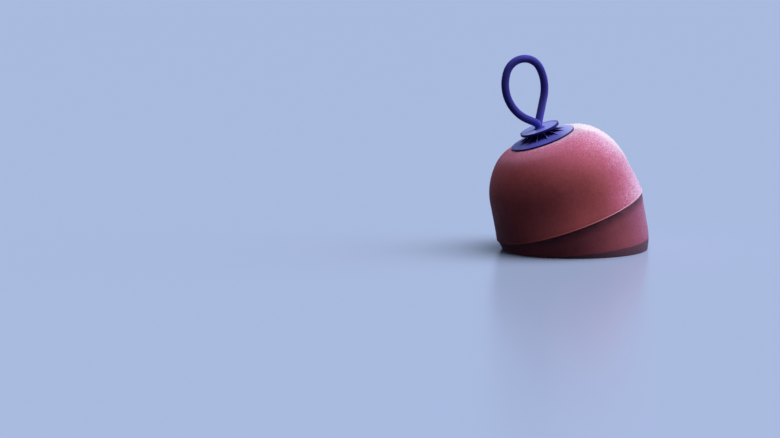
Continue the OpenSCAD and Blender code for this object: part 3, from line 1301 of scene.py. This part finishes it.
@dataclass
class Flanges:
    """The dished flanges, moulded in one with a hub and radial ribs, with soft edges and fillets."""

    radius: float = 85 * MM
    crown_r: float = 500 * MM
    crown_centre: float = -279.5 * MM
    seat: float = 0.1 * MM
    thick: float = 4 * MM
    hub_r: float = 23 * MM
    hub_top: float = 238.0 * MM
    bore: float = 10.33 * MM
    rib_count: int = 12
    rib_t: float = 2.6 * MM
    rib_reach: float = 64 * MM
    rib_drop: float = 1.5 * MM
    rib_crown: float = 0.25 * MM
    draft: float = 0.45 * MM
    hub_taper: float = 0.3 * MM
    hub_foot: float = 2.2 * MM
    edge_round: float = 1.0 * MM
    small_round: float = 0.5 * MM
    # How near the hub, the rim and the bore the faces follow the crown, and where a rib may begin
    fillet: float = 3 * MM
    rim_over: float = 2 * MM
    rim_under: float = 1.5 * MM
    bore_under: float = 0.1 * MM
    rib_root: float = 1.5 * MM
    step: float = 3 * MM
    # Where the mesh's columns stand off a rib's middle, in mm, and how many there are between two ribs
    offsets: tuple[float, ...] = (0.0, 0.5, 0.85, 1.1, 1.3, 1.5, 1.75, 2.2, 2.9)
    between: int = 6
    pieces: list[bpy.types.Object] = field(default_factory=list)

    def dish(self, radius: float, above: float) -> float:
        """Gives the height of a surface that follows the crown.

        Args:
            radius: The distance from the axis.
            above: How far it lies above the crown.

        Returns:
            Its height above the seam.
        """
        ball = self.crown_r + above
        return self.crown_centre + math.sqrt(ball * ball - radius * radius)

    def section(self) -> list[tuple[Vector, bool]]:
        """Draws the closed section between two ribs.

        Returns:
            Each point, and whether a rib can stand on it.
        """
        top = self.seat + self.thick
        foot = self.dish(self.hub_r, top)
        hub = round_corners(
            [
                (self.bore, self.hub_top, self.small_round),
                (self.hub_r - self.hub_taper, self.hub_top, self.edge_round),
                (self.hub_r + self.hub_taper, foot, self.hub_foot),
                (self.radius, self.dish(self.radius, top), self.edge_round),
                (self.radius, self.dish(self.radius, self.seat), self.small_round),
                (self.bore, self.dish(self.bore, self.seat), 0.0),
            ],
            steps=4,
        )
        out = []
        for p in finer(hub + [hub[0]], self.step)[:-1]:
            # Between the roundings, both faces follow the crown
            upper = p.y > self.dish(p.x, self.thick / 2)
            lower = p.y < self.dish(p.x, self.seat + self.thick / 4)
            if upper and self.hub_r + self.fillet < p.x < self.radius - self.rim_over:
                p = Vector((p.x, self.dish(p.x, top)))
            elif lower and self.bore + self.bore_under < p.x < self.radius - self.rim_under:
                p = Vector((p.x, self.dish(p.x, self.seat)))
            ribbed = p.x > self.hub_r - self.rib_root and p.y > self.dish(p.x, self.thick / 2)
            out.append((p, ribbed))
        return out

    def columns(self, radius: float) -> list[float]:
        """Lists the angles of the mesh's columns at a radius, close together over each rib.

        Args:
            radius: The distance from the axis.

        Returns:
            The angles right round the axis.
        """
        half = [math.asin(off * MM / max(radius, self.hub_r)) for off in self.offsets]
        near = [-a for a in reversed(half[1:])] + half
        pitch = math.tau / self.rib_count
        gap = pitch - 2 * half[-1]
        between = [half[-1] + gap * (i + 1) / (self.between + 1) for i in range(self.between)]
        return [k * pitch + a for k in range(self.rib_count) for a in near + between]

    def rib_top(self, radius: float) -> float:
        """Gives the height of a rib's crest.

        Args:
            radius: The distance from the axis.

        Returns:
            Its height above the seam.
        """
        high = self.hub_top - self.rib_drop
        low = self.dish(self.rib_reach, self.seat + self.thick)
        share = (radius - self.hub_r) / (self.rib_reach - self.hub_r)
        return high + (low - high) * share

    def lifted(self, point: Vector, angle: float) -> float:
        """Gives the height of the surface where a rib may stand on it.

        Args:
            point: The point of the section, as a radius and a height.
            angle: Its angle round the axis.

        Returns:
            Its height with the rib.
        """
        pitch = math.tau / self.rib_count
        turn = (angle + pitch / 2) % pitch - pitch / 2
        off = abs(point.x * math.sin(turn))
        share = eased((self.rib_t / 2 + self.draft - off) / (2 * self.draft))
        crown = self.rib_crown * (off / (self.rib_t / 2)) ** 2
        crest = self.rib_top(point.x * math.cos(turn)) - crown
        return point.y + max(0.0, crest - point.y) * share

    def build(self) -> None:
        """Builds both flanges."""
        section = self.section()
        for end in End:
            mesh = bmesh.new()
            rings = []
            for point, ribbed in section:
                ring = []
                for angle in self.columns(point.x):
                    height = self.lifted(point, angle) if ribbed else point.y
                    across = (point.x * math.cos(angle), point.x * math.sin(angle))
                    ring.append(mesh.verts.new((*across, height)))
                rings.append(ring)
            join_round(mesh, rings)
            piece = make_object(f"{end.value}_flange_moulded", mesh, AXIS.matrix(end))
            place(piece, Body.FLOAT, Slot.FLANGE_BLUE, f"{end.value}_flange")
            self.pieces.append(piece)

    def dress(self) -> None:
        """Gives both flanges the moulded blue finish."""
        material = BlueFinish(
            "flange_blue_moulded", blue=(0.101, 0.104, 0.500), deep=(0.078, 0.081, 0.415), side_share=0.96,
            shine=0.12, glaze=0.15, frosted=(0.46, 0.51, 0.95), frost_out=(12 * MM, 98 * MM), crest_highlight_share=0.9,
            shade=(0.008, 0.008, 0.055), edge_r=self.radius, edge_share=0.45, scuff_share=0.50,
        ).build()
        wear(material, *self.pieces)


@dataclass
class Collars:
    """The coated discs on the bar, with a raised round edge and a dished face."""

    radius: float = 52 * MM
    bore: float = 10.30 * MM
    base: float = 238.3 * MM
    thick: float = 5 * MM
    edge_h: float = 1 * MM
    edge_w: float = 4 * MM
    edge_round: float = 0.6 * MM
    inner_round: float = 1.0 * MM
    face_round: float = 1.6 * MM
    step: float = 3 * MM
    segments: int = 160
    pieces: list[bpy.types.Object] = field(default_factory=list)

    def outline(self) -> list[Vector]:
        """Draws the collar's section with round edges.

        Returns:
            The closed outline, each point as a radius and a height.
        """
        top = self.base + self.thick
        corners = [
            (self.bore, self.base, 0.0),
            (self.radius, self.base, self.edge_round),
            (self.radius, top + self.edge_h, self.edge_round),
            (self.radius - self.edge_w, top + self.edge_h, self.inner_round),
            (self.radius - self.edge_w - 2 * self.edge_h, top, self.face_round),
            (self.bore, top, 0.0),
        ]
        return finer(round_corners(corners) + [Vector(corners[0][:2])], self.step)[:-1]

    def build(self) -> None:
        """Builds both collars."""
        for end in End:
            mesh = revolve(self.outline(), self.segments)
            piece = make_object(f"{end.value}_collar_coated", mesh, AXIS.matrix(end))
            place(piece, Body.EYE_ROD, Slot.FLANGE_BLUE, f"{end.value}_collar")
            self.pieces.append(piece)

    def dress(self) -> None:
        """Gives both collars the dipped coat."""
        material = BlueFinish(
            "collar_blue_dipped", blue=(0.260, 0.290, 0.880), deep=(0.210, 0.240, 0.780), side_share=0.96,
            shine=0.06, glaze=0.75, frosted=(0.27, 0.27, 0.82), frost_out=(-20 * MM, 60 * MM),
            shade=(0.018, 0.015, 0.160), edge_r=self.radius, edge_share=0.85, edge_w=4.6 * MM,
        ).build()
        wear(material, *self.pieces)


# A point along the bar, and the bearing of its outer side
Station = tuple[Vector, float]


@dataclass
class Eyes:
    """The bar's two ends, each bent into a teardrop eye and lapped behind its own stem."""

    collar_top: float = 243.3 * MM
    bar_r: float = 10.20 * MM
    cad_bar_r: float = 10.25 * MM
    height: float = 198.5 * MM
    bow_r: float = 48.5 * MM
    bow_shift: float = 6.5 * MM
    stem_bend: float = 53.0
    stem_side_r: float = 103 * MM
    lap_bend: float = 80.0
    lap_side_r: float = 120 * MM
    neck_r: float = 17.5 * MM
    foot_h: float = 5.5 * MM
    lap_side: float = 8 * MM
    lap_gap: float = 0.5 * MM
    lap_clear: float = 0.6 * MM
    sides: int = 40
    step: float = 3.0
    run_step: float = 4 * MM
    foot_steps: int = 9
    tip_steps: int = 8
    unevenness: float = 0.12 * MM
    ripples: float = 60.0
    pieces: list[bpy.types.Object] = field(default_factory=list)

    @property
    def bow_top(self) -> float:
        """The height of the bar's centreline at the top of the bow."""
        return self.height - self.cad_bar_r

    @property
    def lap_up(self) -> float:
        """The height of the centreline's lapped end."""
        return self.cad_bar_r + self.lap_gap

    @property
    def lap_back(self) -> float:
        """How far the lapped end lies behind the stem."""
        return math.sqrt((2.0 * self.cad_bar_r + self.lap_clear) ** 2 - self.lap_side ** 2)

    def bend(self, centre: Vector, radius: float, start: float, stop: float) -> list[Station]:
        """Lists stations round a bend, both ends included.

        Args:
            centre: The bend's centre.
            radius: Its radius, below zero where its outer side faces the centre.
            start: The bearing at which it starts, in degrees.
            stop: The bearing at which it ends.

        Returns:
            The stations.
        """
        count = max(1, math.ceil(abs(stop - start) / self.step))
        angles = [start + (stop - start) * i / count for i in range(count + 1)]
        return [(centre + radius * bearing(a), a) for a in angles]

    def eye_side(
        self, shift: float, bow_bend: float, side_r: float, target: Vector, neck: float
    ) -> list[Station]:
        """Lists the stations down one side of the eye, in its own plane.

        Args:
            shift: How far the bow's middle lies towards this side.
            bow_bend: The bend of the bow on this side, in degrees.
            side_r: The radius of the side.
            target: The point that the side runs round or to.
            neck: The radius of the bend round the target, or 0 to end there.

        Returns:
            Each station's point, and the bearing of its outer side.
        """
        bow = Vector((shift, self.bow_top - self.bow_r))
        side = bow + (self.bow_r - side_r) * bearing(bow_bend)
        reach = target - side
        end = math.degrees(math.atan2(reach.x, reach.y) - math.acos((side_r + neck) / reach.length))
        stations = self.bend(bow, self.bow_r, 0.0, bow_bend)
        stations += self.bend(side, side_r, bow_bend, end)[1:]
        run_end = target - neck * bearing(end)
        run_start = stations[-1][0]
        steps = max(1, math.ceil((run_end - run_start).length / self.run_step))
        stations += [(run_start.lerp(run_end, i / steps), end) for i in range(1, steps + 1)]
        if neck > 0.0:
            stations += self.bend(target, -neck, end, 90.0)[1:]
        return stations

    def ring(self, centre: Vector, out: Vector, across: Vector, radius: float) -> list[Vector]:
        """Gives a ring of points round the bar, with the coat's slight unevenness.

        Args:
            centre: The ring's middle.
            out: The unit vector to the bar's outer side.
            across: The unit vector at right angles to it and to the bar.
            radius: The ring's radius.

        Returns:
            The points.
        """
        points = []
        depth = self.unevenness if radius > self.bar_r / 2 else 0.0
        for i in range(self.sides):
            turn = math.tau * i / self.sides
            ray = math.cos(turn) * out + math.sin(turn) * across
            off = depth * noise.noise((centre + ray * radius) * self.ripples)
            points.append(centre + ray * (radius + off - self.unevenness / 2))
        return points

    def stem_rings(self) -> list[list[Vector]]:
        """Gives the rings from the flared foot up the stem's side to the top of the bow.

        Returns:
            The rings, in the eye's own frame.
        """
        rings = []
        for i in range(self.foot_steps):
            a = math.radians(90.0 * i / self.foot_steps)
            centre = Vector((0.0, 0.0, self.foot_h * (1.0 - math.cos(a))))
            flare = self.bar_r + self.foot_h * (1.0 - math.sin(a))
            rings.append(self.ring(centre, Vector((-1, 0, 0)), Vector((0, 1, 0)), flare))
        stations = self.eye_side(
            -self.bow_shift, self.stem_bend, self.stem_side_r, Vector((self.neck_r, self.foot_h)), self.neck_r
        )
        for point, angle in reversed(stations):
            out = bearing(angle)
            centre = Vector((-point.x, 0, point.y))
            rings.append(self.ring(centre, Vector((-out.x, 0, out.y)), Vector((0, 1, 0)), self.bar_r))
        return rings

    def lap_rings(self) -> list[list[Vector]]:
        """Gives the rings down the lapped side and round the end of the bar.

        Returns:
            The rings, in the eye's own frame.
        """
        tilt = math.asin(self.lap_back / (self.bow_top - self.lap_up))

        def lapped(v: Vector) -> Vector:
            """Turns a vector of the eye's plane back about the top of the bow."""
            return Vector((v.x, -v.y * math.sin(tilt), v.y * math.cos(tilt)))

        top = Vector((0, 0, self.bow_top))
        across = Vector((0, math.cos(tilt), math.sin(tilt)))
        stations = self.eye_side(
            self.bow_shift, self.lap_bend, self.lap_side_r, Vector((self.lap_side, self.lap_up)), 0.0
        )
        rings = []
        for point, angle in stations[1:]:
            centre = top + lapped(point - Vector((0, self.bow_top)))
            rings.append(self.ring(centre, lapped(bearing(angle)), across, self.bar_r))
        last, angle = stations[-1]
        end = top + lapped(last - Vector((0, self.bow_top)))
        ahead = lapped(bearing(angle + 90.0))
        for i in range(1, self.tip_steps):
            a = math.radians(90.0 * i / self.tip_steps)
            tip = end + ahead * (self.bar_r * math.sin(a))
            rings.append(self.ring(tip, lapped(bearing(angle)), across, self.bar_r * math.cos(a)))
        return rings

    def build(self) -> None:
        """Builds both eyes."""
        lift = Matrix.Translation(self.collar_top * Vector(UP))
        for end in End:
            mesh = skin_rings(self.stem_rings() + self.lap_rings())
            piece = make_object(f"{end.value}_eye_coated", mesh, AXIS.matrix(end) @ lift)
            place(piece, Body.EYE_ROD, Slot.BAR_COAT, f"{end.value}_eye")
            self.pieces.append(piece)

    def dress(self) -> None:
        """Gives the eyes and the bar between them the dipped coat."""
        material = BlueFinish(
            "bar_blue_dipped", blue=(0.067, 0.066, 0.435), deep=(0.053, 0.051, 0.350), gloss=0.60, shine=0.03,
            lit_arm_share=0.60,
        ).build()
        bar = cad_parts["rod"]
        wear(material, *self.pieces, bar)


@dataclass(frozen=True)
class Lamp:
    """A far, wide, soft lamp: the way to it, how wide it looks in degrees, its strength and its colour.

    A strength of pi shows a colour as it is written.
    """

    name: str
    direction: Direction
    spread: float
    strength: float
    colour: Colour
    far: float = 5.0

    def hang(self) -> None:
        """Hangs the lamp."""
        data = bpy.data.lights.new(self.name, "SUN")
        data.angle = math.radians(self.spread)
        data.energy = self.strength
        data.color = self.colour
        made = bpy.data.objects.new(self.name, data)
        made.rotation_euler = Vector(self.direction).normalized().to_track_quat("Z", "Y").to_euler()
        made.location = Vector(self.direction).normalized() * self.far
        bpy.context.scene.collection.objects.link(made)


def seen_share(tree: bpy.types.NodeTree) -> Socket:
    """Tells the rays that show a thing, straight, mirrored or through another, from those that light.

    Args:
        tree: The node tree that asks.

    Returns:
        1 for a ray that shows, and 0 for one that lights.
    """
    path = tree.nodes.new("ShaderNodeLightPath")
    share = path.outputs["Is Camera Ray"]
    for ray in ("Is Glossy Ray", "Is Transmission Ray"):
        either = tree.nodes.new("ShaderNodeMath")
        either.operation = "MAXIMUM"
        tree.links.new(share, either.inputs[0])
        tree.links.new(path.outputs[ray], either.inputs[1])
        share = either.outputs[0]
    return share


def mix_onto(tree: bpy.types.NodeTree, output: str, share: Socket, first: Socket, second: Socket) -> None:
    """Mixes two shaders and feeds the mix to an output.

    Args:
        tree: The node tree.
        output: The name of the output node.
        share: The second shader's share.
        first: The first shader.
        second: The second shader.
    """
    mix = tree.nodes.new("ShaderNodeMixShader")
    for socket, value in zip(mix.inputs, (share, first, second)):
        tree.links.new(value, socket)
    tree.links.new(mix.outputs[0], tree.nodes[output].inputs["Surface"])


@dataclass
class Studio:
    """The plain floor at the water's height, the soft lamps, the pale world and the camera."""

    width: int = 780
    height: int = 438
    lens: float = 200.0
    sensor: float = 36.0
    distance: float = 11.3
    azimuth: float = -13.7
    elevation: float = 8.4
    seam_pixel: tuple[float, float] = (569.3, 214.35)
    # How far the camera sees, half the floor's width and the number of its cells
    sight: float = 200.0
    floor_size: float = 60.0
    floor_cells: int = 8
    pale: Colour = (0.36, 0.45, 0.65)
    bounce: Colour = (0.028, 0.028, 0.030)
    sky: Colour = (0.88, 0.90, 1.0)
    sky_strength: float = 0.055
    lamps: tuple[Lamp, ...] = (
        Lamp("key", (0.32, -0.06, 0.94), 60.0, 3.0, (1.0, 0.97, 0.99)),
        Lamp("side", (0.877, -0.103, 0.469), 50.0, 1.5, (0.84, 0.84, 1.0)),
    )

    def camera(self) -> None:
        """Sets the camera so that the seam's middle falls on its pixel."""
        a, e = math.radians(self.azimuth), math.radians(self.elevation)
        right = Vector((math.cos(a), math.sin(a), 0.0))
        back = Vector((math.sin(a) * math.cos(e), -math.cos(a) * math.cos(e), math.sin(e)))
        up = Vector((-math.sin(e) * math.sin(a), math.sin(e) * math.cos(a), math.cos(e)))
        metres = self.distance * self.sensor / self.lens / self.width
        across = (self.seam_pixel[0] - self.width / 2) * metres
        rise = (self.height / 2 - self.seam_pixel[1]) * metres
        data = bpy.data.cameras.new("view")
        data.lens = self.lens
        data.sensor_width = self.sensor
        data.clip_end = self.sight
        made = bpy.data.objects.new("view", data)
        turn = Matrix((right, up, back)).transposed().to_4x4()
        eye = AXIS.seam() + back * self.distance - right * across - up * rise
        made.matrix_world = Matrix.Translation(eye) @ turn
        bpy.context.scene.collection.objects.link(made)
        bpy.context.scene.camera = made

    def floor(self) -> None:
        """Lays the floor at the water's height; it is clear from below."""
        mesh = bmesh.new()
        bmesh.ops.create_grid(
            mesh, x_segments=self.floor_cells, y_segments=self.floor_cells, size=self.floor_size
        )
        made = make_object("floor", mesh, Matrix.Identity(4), smooth=False)
        s = Sheet("floor_pale")
        s.finish(Base_Color=s.blend(seen_share(s.tree), self.bounce, self.pale), Roughness=0.25, IOR=1.31)
        below = s.node("ShaderNodeNewGeometry").outputs["Backfacing"]
        clear = s.node("ShaderNodeBsdfTransparent").outputs[0]
        mix_onto(s.tree, "Material Output", below, s.shader.outputs[0], clear)
        wear(s.material, made)

    def world(self) -> None:
        """Makes the world a pale even sky that lights softly."""
        world = bpy.data.worlds.new("pale_sky")
        world.use_nodes = True
        tree = world.node_tree
        lights = tree.nodes["Background"]
        lights.inputs["Color"].default_value = (*self.sky, 1.0)
        lights.inputs["Strength"].default_value = self.sky_strength
        seen = tree.nodes.new("ShaderNodeBackground")
        seen.inputs["Color"].default_value = (*self.pale, 1.0)
        seen.inputs["Strength"].default_value = 1.0
        mix_onto(tree, "World Output", seen_share(tree), lights.outputs[0], seen.outputs[0])
        bpy.context.scene.world = world

    def build(self) -> None:
        """Builds the whole studio."""
        scene = bpy.context.scene
        scene.view_settings.view_transform = "Standard"
        self.camera()
        self.floor()
        self.world()
        for lamp in self.lamps:
            lamp.hang()
        LOG.info("studio: camera, floor, world and lamps are in place")


def main() -> None:
    """Builds and dresses the buoy, piece by piece, and sets the studio."""
    logging.basicConfig(level=logging.INFO, format="%(name)s: %(message)s")
    Studio().build()
    body = Float()
    for part in (body, RimeCrust(body), Flanges(), Collars(), Eyes()):
        part.build()
        part.dress()
        LOG.info("%s: built and dressed", type(part).__name__)


if __name__ == "__main__":
    main()
